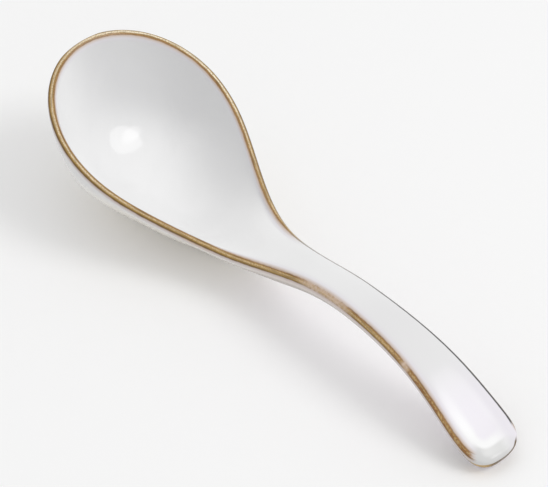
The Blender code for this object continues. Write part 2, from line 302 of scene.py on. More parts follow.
# Colours of the brown: by that part, by the noises, and for rust also by the millimetres before the end;
# with how dark the outer part gets on the bowl and on the handle
OCHRE_STREAKS = (0.35, 0.65)
# The cream streak across the band is partly paler glaze and partly painted highlight
CREAM_STARTS = (0.28, 0.44)
CREAM_ENDS = (0.66, 0.52)
RUST_FROM_END = (60.0, 25.0)
RUST_BLOTCHES = (0.42, 0.58, 0.15, 0.95)
RUST_STARTS = (0.15, 0.55, 0.35, 1.0)
INNER_BROWN_ENDS = (0.32, 0.20, 0.0, 0.8)
DARK_STARTS = (0.60, 0.86)
BOWL_DARK = 0.90
HANDLE_DARK = 0.75
DARK_BY_STREAKS = (0.50, 0.64, 0.0, 0.55)
DARK_BY_GRAIN = (0.42, 0.62, 0.0, 0.45)
PALE_BLOTCHES = (0.30, 0.65, 0.45, 1.0)
# Painted shade, a grey line on the handle's far edge: in millimetres within the inner border
FAR_LINE_ENDS = (1.6, 1.1)
# Line under the tip: in millimetres below its top, with the end of its dark part, which is painted shade
TIP_LINE_STARTS = (-0.10, 0.20)
TIP_LINE_ENDS = (3.2, 2.6)
TIP_DARK_ENDS = (2.8, 2.2)

# Bare clay: grain, specks and clouds in waves to the metre, the depth of the grain, the rises of specks
# and roughness, and how much darker and lighter the clouds are
CLAY_GRAIN = 2600.0
CLAY_SPECKS = 900.0
CLAY_CLOUDS = 120.0
CLAY_DEPTH = 0.0001
SPECKS_START = (0.60, 0.68)
CLAY_ROUGHNESS = (0.2, 0.8, 0.75, 0.92)
CLAY_DARKER = 0.85
CLAY_LIGHTER = 1.12

# Floor: how far it reaches from the middle, and its roughness
FLOOR_REACH = 4.0
FLOOR_ROUGHNESS = 0.9

# Camera: the point that it looks at, its direction from there, distance, and lens and sensor in millimetres
CAMERA_TARGET = Vector((-0.01445, 0.00718, 0.01479))
CAMERA_AZIMUTH = np.radians(46.5)
CAMERA_ELEVATION = np.radians(46.0)
CAMERA_DISTANCE = 1.7745
CAMERA_LENS = 296.8
CAMERA_SENSOR = 36.0

# Light: a softbox on the right with a brighter middle and a wide dim one overhead, each with its direction,
# width, height, power and distance; then an even pale room, and the backdrop seen by camera and gloss
KEY = Vector((0.491, 0.402, 0.770)).normalized(), 1.4, 1.4, 15.5, 3.0
KEY_CORE = Vector((0.527, 0.258, 0.810)).normalized(), 1.2, 0.55, 4.5, 2.9
OVERHEAD = Vector((0.02, 0.22, 1.0)).normalized(), 3.2, 3.2, 6.0, 3.0
ROOM = 0.775
BACKDROP = 0.9

# Sizes that follow from those above
EDGE_LENGTH = LENGTH - LIP
HALF_LIP = LIP / 2
BOWL_HALF = BOWL_WIDTH / 2 - HALF_LIP
NECK_HALF = NECK_WIDTH / 2 - HALF_LIP
TIP_HALF = TIP_WIDTH / 2 - HALF_LIP
TIP_FOOT_AT = EDGE_LENGTH - TIP_FOOT_BACK
TIP_WIDEST_AT = EDGE_LENGTH - TIP_WIDEST_BACK
TIP_STARTS_AT = EDGE_LENGTH - TIP_STARTS_BACK
CENTRE_X = EDGE_LENGTH / 2
BAND_END_AT = TIP_WIDEST_AT + TIP_WIDEST_BACK * np.sin(BAND_STOPS) ** TIP_ROUNDNESS
MM = 1000.0


def bezier(points):
    """Points along a cubic curve."""
    t = np.linspace(0.0, 1.0, CURVE_POINTS)[:, None]
    a, b, c, d = np.asarray(points, float)
    return (1 - t) ** 3 * a + 3 * t * (1 - t) ** 2 * b + 3 * t**2 * (1 - t) * c + t**3 * d


def level_curve(start, end, ease):
    """A cubic curve that is level at both ends, for given shares of its run."""
    first, last = ease
    run = end[0] - start[0]
    return bezier([start, (start[0] + first * run, start[1]), (end[0] - last * run, end[1]), end])


def joined(*curves):
    """Curves end to end, each shared point kept once."""
    return np.concatenate([curves[0]] + [curve[1:] for curve in curves[1:]])


def spaced(curve, step):
    """A curve again, with its points about one step apart."""
    steps = np.linalg.norm(np.diff(curve, axis=0), axis=1)
    length = np.concatenate([[0.0], np.cumsum(steps)])
    places = np.linspace(0.0, length[-1], int(np.ceil(length[-1] / step)) + 1)
    return np.c_[np.interp(places, length, curve[:, 0]), np.interp(places, length, curve[:, 1])]


def blend(x, start, end):
    """A smooth rise from 0 at start to 1 at end."""
    t = np.clip((x - start) / (end - start), 0.0, 1.0)
    return t * t * (3 - 2 * t)


def half_outline():
    """The edge line seen from above, from the front of the bowl to the tip, on the +Y side."""
    turn = np.linspace(0.0, np.pi / 2, CURVE_POINTS)
    front = np.c_[WIDEST_AT * (1 - np.cos(turn)), BOWL_HALF * np.sin(turn)]
    narrowest = (NARROWEST_AT, NECK_HALF)
    shoulder = level_curve((WIDEST_AT, BOWL_HALF), narrowest, SHOULDER_EASE)
    handle = level_curve(narrowest, (TIP_WIDEST_AT, TIP_HALF), HANDLE_EASE)
    tip = np.c_[
        TIP_WIDEST_AT + TIP_WIDEST_BACK * np.sin(turn) ** TIP_ROUNDNESS,
        TIP_HALF * np.cos(turn).clip(0.0) ** TIP_ROUNDNESS,
    ]
    tip[-1] = EDGE_LENGTH, 0.0
    return joined(spaced(joined(front, shoulder, handle), EDGE_STEP), spaced(tip, TIP_STEP))


def edge_line():
    """Side view of the edge line: high at the front, low at the neck, high on the arch, low at the tip."""
    neck = (NECK_LOW_AT, NECK_HEIGHT)
    crest = (CREST_AT, CREST_HEIGHT)
    first, last = np.multiply(BOWL_EASE, NECK_LOW_AT)
    front = [(0.0, FRONT_HEIGHT), (first, FRONT_HEIGHT + FRONT_SLOPE * first)]
    bowl = bezier([*front, (NECK_LOW_AT - last, NECK_HEIGHT), neck])
    arch = level_curve(neck, crest, ARCH_EASE)
    first, last = np.multiply(DROOP_EASE, EDGE_LENGTH - CREST_AT)
    tip = [(EDGE_LENGTH - last, TIP_HEIGHT - TIP_SLOPE * last), (EDGE_LENGTH, TIP_HEIGHT)]
    droop = bezier([crest, (CREST_AT + first, CREST_HEIGHT), *tip])
    return joined(bowl, arch, droop)


EDGE_LINE = edge_line()


def edge_height(x):
    """Height of the edge line."""
    return np.interp(x, EDGE_LINE[:, 0], EDGE_LINE[:, 1])


def bowl_share(x, ease):
    """1 in the bowl, falling smoothly to 0 where the handle starts."""
    line = level_curve((WIDEST_AT, 1.0), (HANDLE_STARTS_AT, 0.0), ease)
    return np.interp(x, line[:, 0], line[:, 1])


def handle_share(x):
    """0 in the bowl, rising smoothly to 1 on the handle."""
    return blend(x, BOWL_ENDS_AT, HANDLE_FORMED_AT)


def fullness(x, front, back):
    """How full the section of the bowl is, from its front to its back."""
    return front + (back - front) * blend(x, BOWL_FULL_UNTIL, BOWL_ROUND_AT)


def section(turn, full, steep):
    """Share of the depth reached at a turn, from 0 at the edge to 1 at the middle."""
    return np.sin(turn) ** (2 / steep) * (1 + full * np.cos(turn) ** 2)


def outer_depth(x):
    """How far the underside hangs below the edge line, along the middle."""
    at_foot = edge_height(BOWL_FOOT_AT) - HALF_LIP + BOWL_SINK
    at_tip = edge_height(TIP_WIDEST_AT) - HALF_LIP + TIP_SINK
    bowl = (at_foot - NECK_DEPTH) * bowl_share(x, OUTER_EASE) / bowl_share(BOWL_FOOT_AT, OUTER_EASE)
    neck = (NECK_DEPTH - HANDLE_DEPTH) * (1 - blend(x, NECK_LOW_AT, CREST_AT))
    tip = (at_tip - HANDLE_DEPTH) * blend(x, TIP_STARTS_AT, TIP_WIDEST_AT)
    return HANDLE_DEPTH + bowl + neck + tip


def inner_depth(x):
    """How far the hollow of the bowl goes below the edge line, along the middle."""
    at_foot = edge_height(BOWL_FOOT_AT) - HALF_LIP - BOWL_FLOOR
    return at_foot * bowl_share(x, INNER_EASE) / bowl_share(BOWL_FOOT_AT, INNER_EASE)


def amounts(places, x, side):
    """How much of a local effect each point of the outline gets."""
    total = np.zeros_like(x)
    for on_side, middle, reach, amount in places:
        near = 1 - blend(np.abs(x - CENTRE_X - middle), WHOLE_REACH * reach, reach)
        total = np.maximum(total, amount * near * (side == on_side))
    return total


def normals_of(points):
    """Outward directions at the points of a grid, shared where points coincide."""
    rows, count = points.shape[:2]
    places = np.round(points.reshape(-1, 3) / SAME_POINT).astype(np.int64)
    same = np.unique(places, axis=0, return_inverse=True)[1].reshape(rows, count)
    right = np.roll(points, -1, axis=1)
    faces = np.cross(right[1:] - points[:-1], points[1:] - right[:-1])
    faces /= np.linalg.norm(faces, axis=2)[:, :, None]
    total = np.zeros((same.max() + 1, 3))
    for corner in (same[:-1], same[1:], np.roll(same[:-1], -1, axis=1), np.roll(same[1:], -1, axis=1)):
        np.add.at(total, corner.reshape(-1), faces.reshape(-1, 3))
    return (total / np.linalg.norm(total, axis=1)[:, None])[same]


class Skin:
    """The glazed surface as a grid of rows round the spoon, from the middle of the top to that below."""

    def __init__(self):
        half = half_outline()
        self.edge = np.concatenate([half, half[-2:0:-1] * (1, -1)])
        ahead = np.roll(self.edge, -1, axis=0) - self.edge
        behind = np.roll(ahead, 1, axis=0)
        step_ahead = np.linalg.norm(ahead, axis=1)[:, None]
        step_behind = np.linalg.norm(behind, axis=1)[:, None]
        forward = ahead * step_behind / step_ahead + behind * step_ahead / step_behind
        forward /= np.linalg.norm(forward, axis=1)[:, None]
        self.out = np.c_[-forward[:, 1], forward[:, 0]]
        self.inner_rim = self.edge - self.out * HALF_LIP
        self.outer_rim = self.edge + self.out * HALF_LIP
        self.inner_spine = self.spine(self.inner_rim)
        self.outer_spine = self.spine(self.outer_rim)
        self.share = handle_share(self.edge[:, 0])
        self.inwards = BOWL_BAND_IN + (HANDLE_BAND_IN - BOWL_BAND_IN) * self.share
        self.outwards = BOWL_BAND_OUT + (HANDLE_BAND_OUT - BOWL_BAND_OUT) * self.share
        self.place_rows()
        run = np.concatenate([[0.0], np.cumsum(np.linalg.norm(np.diff(half, axis=0), axis=1))])
        self.run = np.concatenate([run, -run[-2:0:-1]])
        self.to_end = np.interp(BAND_END_AT, half[:, 0], run) - np.abs(self.run)
        self.soften_corner()
        self.normals = normals_of(self.points)
        self.share_out()
        facts = {**self.band_facts(), **self.white_facts(), **self.tip_facts()}
        self.facts = {name: np.broadcast_to(fact, self.across.shape) for name, fact in facts.items()}

    def place_rows(self):
        """Makes the points, in rows that crowd towards the band, with their distances across the edge."""
        turns = np.linspace(-90.0, 270.0, ROW_SAMPLES)
        points = np.array([self.row(np.full(len(self.edge), turn)) for turn in turns])
        steps = np.linalg.norm(np.diff(points, axis=0), axis=2)
        length = np.concatenate([np.zeros((1, len(self.edge))), np.cumsum(steps, axis=0)])
        length -= length[turns == 90]
        to_middle = np.linspace(1.0, 0.0, UPPER_ROWS + 1)[:, None] ** ROW_GRADING
        upper = -self.inwards + (length[0] + self.inwards) * to_middle
        over_band = np.linspace(0.0, 1.0, BAND_ROWS + 1)[:, None]
        band = -self.inwards + (self.inwards + self.outwards) * over_band
        from_band = np.linspace(0.0, 1.0, UNDER_ROWS + 1)[:, None] ** ROW_GRADING
        under = self.outwards + (length[-1] - self.outwards) * from_band
        self.across = np.concatenate([upper[:-1], band[:-1], under])
        at = np.array([np.interp(d, line, turns) for d, line in zip(self.across.T, length.T)]).T
        self.points = np.array([self.row(turn) for turn in at])

    def soften_corner(self):
        """Smooths the inner corner of the lip where it runs out on the handle."""
        rows = np.arange(1, len(self.points) - 1)[:, None]
        by_corner = np.abs(rows - UPPER_ROWS + CORNER_ROWS_IN) < CORNER_ROWS
        on_neck = blend(self.share, *CORNER_STARTS) * (1 - blend(self.share, *CORNER_ENDS))
        amount = CORNER_PULL * on_neck * by_corner
        for _ in range(CORNER_PASSES):
            middle = (self.points[:-2] + self.points[2:]) / 2
            self.points[1:-1] += (middle - self.points[1:-1]) * amount[:, :, None]

    def share_out(self):
        """Which cells of the grid each coat covers."""
        row = np.arange(len(self.points) - 1)[:, None]
        in_reach = np.minimum(self.to_end, np.roll(self.to_end, -1))[None, :] >= 0
        beside_band = (row >= UPPER_ROWS) & (row < UPPER_ROWS + BAND_ROWS)
        self.on_band = beside_band & in_reach
        self.on_upper = (row < UPPER_ROWS) | (beside_band & ~in_reach)
        self.on_under = (row >= UPPER_ROWS + BAND_ROWS) & np.ones_like(in_reach)

    def band_facts(self):
        """What the band's colours follow: distances in millimetres, and amounts from 0 to 1."""
        x, y = self.edge.T
        side = np.sign(y)
        far = side > 0
        on_bowl = 1 - self.share
        to_back = blend(x, *CREST_FADES)
        wider = FRONT_BAND_WIDER * on_bowl * (1 - to_back)
        narrower = FAR_EDGE_NARROWER * self.share * far
        # The crest is partly paler glaze and partly painted highlight, strongest on the far side
        crest = CREST_LEAST + (1 - CREST_LEAST) * blend(y, *CREST_GROWS)
        return {
            "across_mm": self.across * MM,
            "along_mm": self.run * MM,
            "inner_border_mm": (self.across + self.inwards + wider - narrower) * MM,
            "outer_border_mm": (self.outwards - self.across) * MM,
            "band_end_mm": self.to_end * MM,
            "pale": amounts(PALE_STRETCHES, x - PALE_SLANT * self.across, side),
            "thin_run": amounts(THIN_RUNS, x, side),
            "crest": crest * on_bowl * (1 - CREST_LOSS * to_back),
            # Painted shade: where the grey line on the handle's far edge lies
            "far_edge_shade": blend(self.share, *FAR_LINE_STARTS) * far,
        }

    def white_facts(self):
        """What the white follows on the bowl and handle: amounts from 0 to 1, and how far it faces down."""
        on_bowl = 1 - self.share
        inside = self.across < 0
        upward = self.normals[:, :, 2]
        # Painted shade on the bowl's walls: inside where they face one way and stand upright, outside just
        # below the edge
        shade_inside = blend(self.normals @ SHADED_SIDE, *SHADE_LEAN) * (1 - blend(upward, *SHADE_SLOPE))
        shade_outside = 1 - blend(self.across, *SHADE_BELOW_EDGE)
        return {
            "handle": self.share,
            "faces_down": -upward,
            # Painted light: the hollow of the bowl is made whiter
            "pooled": inside * on_bowl,
            "wall_shade": np.where(inside, shade_inside, shade_outside) * on_bowl,
            "grey_run": blend(self.edge[:, 0], *GREY_STARTS),
        }

    def tip_facts(self):
        """What the white and the brown line follow on the tip."""
        x, y, z = np.moveaxis(self.points, 2, 0)
        to_far = y.clip(0.0) / TIP_HALF
        at_tip = blend(x - FAR_CORNER_LATER * to_far, *TIP_CORNERS)
        # Painted shade on the tip's end
        grey = blend(self.across, *TIP_SHADE_REACH) * (1 - TIP_SHADE_LOSS * blend(to_far, *TIP_SHADE_FADES))
        # Painted highlight near the tip's end
        white = blend(self.across, *TIP_HIGHLIGHT_REACH) * (1 - blend(y, *TIP_HIGHLIGHT_ENDS))
        line = TIP_LINE + TIP_LINE_RISE * blend(to_far, *TIP_LINE_CLIMBS)
        return {
            "lilac": blend(x, *LILAC_STARTS),
            "tip_highlight": white * blend(x, *TIP_HIGHLIGHT_STARTS),
            "tip_end_shade": grey * at_tip,
            "at_tip": at_tip,
            "tip_line_mm": (line - z) * MM,
            "far_side": blend(y, *TIP_LINE_DARKENS),
        }

    def spine(self, rim):
        """The point of the middle line that each point of a rim looks to."""
        x = np.clip(rim[:, 0], WIDEST_AT, TIP_WIDEST_AT)
        return np.c_[x, np.zeros(len(x))]

    def dome(self, plan):
        """Height of the handle's rounded top."""
        spine = self.spine(self.outer_rim)
        whole = np.linalg.norm(self.outer_rim - spine, axis=1)
        part = (np.linalg.norm(plan - spine, axis=1) / whole).clip(0.0, 1.0)
        rise = (HALF_LIP + HANDLE_CROWN) * (1 - part**HANDLE_FLATNESS) ** 0.5
        return edge_height(plan[:, 0]) - HALF_LIP + rise

    def topped(self, plan, bowl):
        """Points above a plan, passing from the height of the bowl to that of the handle."""
        share = handle_share(plan[:, 0])
        return np.c_[plan, bowl * (1 - share) + self.dome(plan) * share]

    def upper(self, turn):
        """Points of the hollow and of the handle's top, from 90 degrees at the middle to 0 at the edge."""
        depth = inner_depth(self.inner_spine[:, 0])
        full = fullness(self.inner_rim[:, 0], INNER_FULL_FRONT, INNER_FULL_BACK)
        plan = self.inner_spine + (self.inner_rim - self.inner_spine) * np.cos(turn)[:, None]
        fall = depth * section(turn, full, WALL_STEEPNESS)
        return self.topped(plan, edge_height(plan[:, 0]) - HALF_LIP - fall)

    def lip(self, turn):
        """Points of the rounded edge, from 0 at its inner side to 180 degrees at its outer side."""
        plan = self.edge - self.out * HALF_LIP * np.cos(turn)[:, None]
        return self.topped(plan, edge_height(plan[:, 0]) - HALF_LIP * (1 - np.sin(turn)))

    def under(self, turn):
        """Points of the underside, from 0 at the edge to 90 degrees at the middle, level near the table."""
        depth = outer_depth(self.outer_spine[:, 0])
        share = handle_share(self.outer_spine[:, 0])
        full = fullness(self.outer_rim[:, 0], OUTER_FULL_FRONT, OUTER_FULL_BACK)
        full += (HANDLE_FULL - full) * share
        full += (TIP_FULL - full) * blend(self.outer_spine[:, 0], TIP_STARTS_AT, TIP_WIDEST_AT)
        steep = WALL_STEEPNESS + (HANDLE_STEEPNESS - WALL_STEEPNESS) * share
        plan = self.outer_spine + (self.outer_rim - self.outer_spine) * np.cos(turn)[:, None]
        fall = depth * section(turn, full, steep)
        height = edge_height(plan[:, 0]) - HALF_LIP - fall - FOOT_RISE
        return np.c_[plan, (height + np.sqrt(height**2 + FOOT_ROUND**2)) / 2 + FOOT_RISE]

    def row(self, turn):
        """Points at a turn: -90 is the top's middle, 0 to 180 the rounded edge, 270 the middle below."""
        upper = self.upper(np.radians(np.clip(-turn, 0.0, 90.0)))
        lip = self.lip(np.radians(np.clip(turn, 0.0, 180.0)))
        under = self.under(np.radians(np.clip(turn - 180.0, 0.0, 90.0)))
        return np.where((turn < 0)[:, None], upper, np.where((turn > 180)[:, None], under, lip))


def sheet(cells, first):
    """Faces of some cells of a grid."""
    count = cells.shape[1]
    faces = []
    for row, i in np.argwhere(cells).tolist():
        a = first + row * count + i
        b = first + row * count + (i + 1) % count
        faces.append((a, b, b + count, a + count))
    return faces


def walls(cells, depth):
    """Faces that close a layer along the border of its cells, down to the points that many further on."""
    rows, count = cells.shape
    faces = []
    for row, i in np.argwhere(cells).tolist():
        j = (i + 1) % count
        corners = [(row, i), (row, j), (row + 1, j), (row + 1, i)]
        beside = [(row - 1, i), (row, j), (row + 1, i), (row, i - 1)]
        for side, near in enumerate(beside):
            if near[0] < 0 or near[0] >= rows or cells[near]:
                continue
            a = corners[side][0] * count + corners[side][1]
            b = corners[(side + 1) % 4][0] * count + corners[(side + 1) % 4][1]
            faces.append((b, a, a + depth, b + depth))
    return faces


def solid(name, points, faces):
    """A closed mesh object, with the points that coincide made one."""
    mesh = bpy.data.meshes.new(name)
    mesh.from_pydata((points - (CENTRE_X, 0.0, 0.0)).tolist(), [], faces)
    shape = bmesh.new()
    shape.from_mesh(mesh)
    bmesh.ops.remove_doubles(shape, verts=shape.verts, dist=SAME_POINT)
    loose = [v for v in shape.verts if not v.link_faces]
    bmesh.ops.delete(shape, geom=loose, context="VERTS")
    shape.to_mesh(mesh)
    shape.free()
    obj = bpy.data.objects.new(name, mesh)
    bpy.context.scene.collection.objects.link(obj)
    return obj


def block(name, centre, length, width):
    """An oval block that cuts a hole for a bare foot."""
    count = HOLE_POINTS
    turn = (np.arange(count) + 0.5) * 2 * np.pi / count
    ring = np.c_[centre + length / 2 * np.cos(turn), width / 2 * np.sin(turn)]
    low = np.c_[ring, np.full(count, -HOLE_TOP)]
    high = np.c_[ring, np.full(count, HOLE_TOP)]
    faces = [tuple(range(count))[::-1], tuple(range(count, 2 * count))]
    for i in range(count):
        j = (i + 1) % count
        faces.append((i, j, j + count, i + count))
    return solid(name, np.concatenate([low, high]), faces)


def cut(obj, tool):
    """Takes a block out of an object for good."""
    modifier = obj.modifiers.new(tool.name, "BOOLEAN")
    modifier.operation = "DIFFERENCE"
    modifier.solver = "EXACT"
    modifier.object = tool
    graph = bpy.context.evaluated_depsgraph_get()
    result = bpy.data.meshes.new_from_object(obj.evaluated_get(graph))
    obj.modifiers.clear()
    obj.data = result
    bpy.data.objects.remove(tool)


class Coats:
    """Makes coats of glaze on a skin."""

    def __init__(self, skin):
        self.outer = skin.points.reshape(-1, 3)
        self.normals = skin.normals.reshape(-1, 3)
        self.facts = {name: values.reshape(-1) for name, values in skin.facts.items()}
        self.both = np.concatenate([self.outer, self.outer - self.normals * GLAZE])
        self.tree = kdtree.KDTree(len(self.both))
        for index, point in enumerate(self.both - (CENTRE_X, 0.0, 0.0)):
            self.tree.insert(point, index)
        self.tree.balance()

    def coat(self, name, cells):
        """A closed layer on some cells of the skin."""
        depth = len(self.outer)
        backs = [face[::-1] for face in sheet(cells, depth)]
        return solid(name, self.both, sheet(cells, 0) + backs + walls(cells, depth))

    def finish(self, obj, material, node):
        """Gives a coat the skin's facts and smooth shading, and puts it in the place of a solid."""
        mesh = obj.data
        nearest = np.array([self.tree.find(v.co)[1] for v in mesh.vertices]) % len(self.outer)
        for name, values in self.facts.items():
            mesh.attributes.new(name, "FLOAT", "POINT").data.foreach_set("value", values[nearest])
        normals = self.normals[nearest]
        shading = np.empty((len(mesh.loops), 3))
        for face in mesh.polygons:
            own = np.array(face.normal)
            here = normals[list(face.vertices)]
            lean = own @ here.mean(axis=0)
            choice = here if lean > ALONG_SKIN else -here if lean < -ALONG_SKIN else own
            shading[face.loop_start : face.loop_start + face.loop_total] = choice
        mesh.polygons.foreach_set("use_smooth", np.ones(len(mesh.polygons), bool))
        mesh.normals_split_custom_set(shading.tolist())
        mesh.materials.clear()
        mesh.materials.append(material)
        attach(obj, "root")
        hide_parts(node)


class Nodes:
    """A material's nodes, added one call at a time."""

    def __init__(self, name):
        self.material = bpy.data.materials.new(name)
        self.material.use_nodes = True
        self.tree = self.material.node_tree
        self.shader = self.tree.nodes["Principled BSDF"]

    def put(self, socket, value):
        """Links a socket to another, or sets it."""
        if isinstance(value, bpy.types.NodeSocket):
            self.tree.links.new(value, socket)
        elif isinstance(value, tuple) and len(value) == 3 and socket.type == "RGBA":
            socket.default_value = (*value, 1.0)
        else:
            socket.default_value = value

    def math(self, operation, *values):
        """A calculation with numbers."""
        node = self.tree.nodes.new("ShaderNodeMath")
        node.operation = operation
        for socket, value in zip(node.inputs, values):
            self.put(socket, value)
        return node.outputs[0]

    def times(self, first, *others):
        """A product of numbers."""
        for other in others:
            first = self.math("MULTIPLY", first, other)
        return first

    def scaled(self, value, factor, offset):
        """A number times a factor, plus an offset."""
        return self.math("MULTIPLY_ADD", value, factor, offset)

    def fact(self, name):
        """A number that the coat's points carry."""
        node = self.tree.nodes.new("ShaderNodeAttribute")
        node.attribute_name = name
        return node.outputs["Fac"]

    def place(self):
        """The place on the object, in metres."""
        return self.tree.nodes.new("ShaderNodeTexCoord").outputs["Object"]

    def vector(self, x, y, z=0.0):
        """A vector from numbers."""
        node = self.tree.nodes.new("ShaderNodeCombineXYZ")
        for socket, value in zip(node.inputs, (x, y, z)):
            self.put(socket, value)
        return node.outputs[0]

    def rise(self, value, start, end, low=0.0, high=1.0):
        """A smooth rise from low at start to high at end."""
        node = self.tree.nodes.new("ShaderNodeMapRange")
        node.interpolation_type = "SMOOTHSTEP"
        for socket, number in zip(node.inputs, (value, start, end, low, high)):
            self.put(socket, number)
        return node.outputs[0]

    def noise(self, vector, scale, detail=2.0):
        """Soft noise from 0 to 1."""
        node = self.tree.nodes.new("ShaderNodeTexNoise")
        self.put(node.inputs["Vector"], vector)
        node.inputs["Scale"].default_value = scale
        node.inputs["Detail"].default_value = detail
        return node.outputs["Fac"]

    def mix(self, factor, a, b):
        """A colour between two."""
        node = self.tree.nodes.new("ShaderNodeMix")
        node.data_type = "RGBA"
        colours = [s for s in node.inputs if s.type == "RGBA"]
        self.put(node.inputs[0], factor)
        self.put(colours[0], a)
        self.put(colours[1], b)
        return [s for s in node.outputs if s.type == "RGBA"][0]

    def bump(self, height, distance):
        """Tilts the surface by a height map, with a depth in metres."""
        node = self.tree.nodes.new("ShaderNodeBump")
        node.inputs["Distance"].default_value = distance
        self.put(node.inputs["Height"], height)
        self.put(self.shader.inputs["Normal"], node.outputs[0])


class Glaze(Nodes):
    """White gloss glaze that breaks to golden brown on the edge, with a soft halo beside it."""

    def __init__(self, name):
        super().__init__(name)
        self.across, self.along = self.fact("across_mm"), self.fact("along_mm")
        self.inner, self.outer = self.fact("inner_border_mm"), self.fact("outer_border_mm")
        self.end, self.down = self.fact("band_end_mm"), self.fact("faces_down")
        self.handle, self.far_edge_shade = self.fact("handle"), self.fact("far_edge_shade")
        self.pooled, self.grey_run = self.fact("pooled"), self.fact("grey_run")
        self.clouds = self.noise(self.place(), CLOUDS)
        self.on_band = self.vector(self.along, self.across)
        self.streaks = self.noise(self.drawn_out(*STREAKS), 1.0, detail=4.0)
        self.blotches = self.noise(self.on_band, BLOTCHES, detail=3.0)
        self.wander = self.scaled(self.noise(self.on_band, WANDERING, detail=3.0), WANDER, -WANDER / 2)
        brown = self.brown_amount()
        white = self.below_band(self.beside_band(self.white()))
        colour = self.with_tip_line(self.mix(brown, white, self.brown()))
        self.put(self.shader.inputs["Base Color"], colour)
        self.put(self.shader.inputs["Specular IOR Level"], GLAZE_SHINE)
        self.put(self.shader.inputs["Roughness"], self.roughness(brown))
        ripples = self.noise(self.place(), RIPPLES, detail=1.0)
        waves = self.scaled(self.noise(self.place(), WAVES, detail=1.0), WAVES_WEIGHT, ripples)
        self.bump(waves, WAVES_DEPTH)

    def drawn_out(self, along, across, layer=0.0):
        """Places on the band, stretched so that noise there makes streaks."""
        return self.vector(self.times(self.along, along), self.times(self.across, across), layer)

    def white(self):
        """White: whiter in the bowl's hollow as painted light, greyer in clouds and on the handle, greyer
        on the bowl's walls and the tip's end as painted shade, with a painted highlight near the tip's end,
        and tinted below.
        """
        # Painted light: whiter in the bowl's hollow
        colour = self.mix(self.pooled, WHITE, HOLLOW_LIT_WHITE)
        colour = self.mix(self.rise(self.clouds, *CLOUDS_THIN), colour, CLOUD_AND_SHADE_GREY)
        # Painted shade on the bowl's walls
        colour = self.mix(self.fact("wall_shade"), colour, CLOUD_AND_SHADE_GREY)
        # Painted highlight near the tip's end
        tip = self.mix(self.fact("tip_highlight"), LILAC, WHITE)
        handle = self.mix(self.fact("lilac"), HANDLE_GREY, tip)
        colour = self.mix(self.grey_run, colour, handle)
        # Painted shade on the tip's end
        colour = self.mix(self.fact("tip_end_shade"), colour, TIP_END_SHADE)
        below = self.mix(self.handle, UNDERSIDE, HANDLE_BELOW)
        return self.mix(self.rise(self.down, *FACES_DOWN), colour, below)

    def beside_band(self, colour):
        """A colour with soft tints beside the band: lavender and beige inside it, a brown halo outside."""
        by_band = self.rise(self.end, *BY_BAND)
        elsewhere = self.math("SUBTRACT", 1.0, self.far_edge_shade)
        inside = self.times(self.rise(self.across, *INSIDE), by_band, elsewhere)
        colour = self.mix(self.times(inside, self.rise(self.inner, *LAVENDER_STARTS)), colour, LAVENDER)
        colour = self.mix(self.times(inside, self.rise(self.inner, *BEIGE_STARTS)), colour, BEIGE)
        outside = self.times(self.rise(self.across, *OUTSIDE), by_band)
        wall = self.times(outside, self.handle, self.rise(self.outer, *WALL_TINT_STARTS))
        colour = self.mix(wall, colour, WALL_TINT)
        return self.mix(self.times(outside, self.rise(self.outer, *HALO_STARTS)), colour, HALO)

    def below_band(self, colour):
        """A colour with a dark line of painted shade where the side turns under, and thin runs of brown."""
        turn = self.rise(self.scaled(self.handle, TURN_SOONER, self.down), *TURN_STARTS)
        amount = self.scaled(self.handle, HANDLE_TURN - BOWL_TURN, BOWL_TURN)
        turn = self.times(turn, self.rise(self.down, *TURN_ENDS), amount)
        # Painted shade: the dark line where the side turns under
        colour = self.mix(turn, colour, TURN_UNDER_SHADE)
        run = self.times(self.fact("thin_run"), self.rise(self.outer, *RUN_ENDS))
        run = self.times(run, self.rise(self.streaks, *RUN_STREAKS), self.rise(self.inner, *RUN_STARTS))
        return self.mix(run, colour, FADED)

    def brown_amount(self):
        """How much of the glaze is brown: all of it on the band, up to a ragged end."""
        within = self.math("ADD", self.math("MINIMUM", self.inner, self.outer), self.wander)
        to_end = self.scaled(self.streaks, END_RAGGED, self.math("SUBTRACT", self.end, END_SOONER))
        return self.times(self.rise(within, *BROWN_STARTS), self.rise(to_end, *BROWN_ENDS))

    def brown(self):
        """The band: brown inside, then a pale streak that is partly painted highlight, then gold and rust
        that darken outwards, and a grey line of painted shade on the handle's far edge.
        """
        width = self.math("MAXIMUM", self.math("ADD", self.inner, self.outer), LEAST_WIDTH)
        part = self.math("DIVIDE", self.math("ADD", self.inner, self.wander), width)
        part = self.math("ADD", part, self.scaled(self.streaks, STREAK_PULL, -STREAK_PULL / 2))
        gold = self.mix(self.rise(self.streaks, *OCHRE_STREAKS), OCHRE, PALE_OCHRE)
        # A pale streak, partly paler glaze and partly painted highlight
        sheen_streak = self.times(self.rise(part, *CREAM_STARTS), self.rise(part, *CREAM_ENDS))
        gold = self.mix(sheen_streak, gold, self.mix(self.fact("crest"), CREAM_SHEEN, CREST_SHEEN))
        rusty = self.times(self.rise(self.end, *RUST_FROM_END), self.rise(self.blotches, *RUST_BLOTCHES))
        gold = self.mix(self.times(rusty, self.rise(part, *RUST_STARTS)), gold, RUST)
        gold = self.mix(self.rise(part, *INNER_BROWN_ENDS), gold, INNER_BROWN)
        band = self.mix(self.darkness(part), gold, DARK_BROWN)
        pale = self.times(self.fact("pale"), self.rise(self.blotches, *PALE_BLOTCHES))
        band = self.mix(pale, band, FADED)
        # Painted shade: the grey line on the handle's far edge
        far_shade_line = self.times(self.far_edge_shade, self.rise(self.inner, *FAR_LINE_ENDS))
        return self.mix(far_shade_line, band, self.mix(self.grey_run, FAINT_SHADE_GREY, DARK_SHADE_GREY))

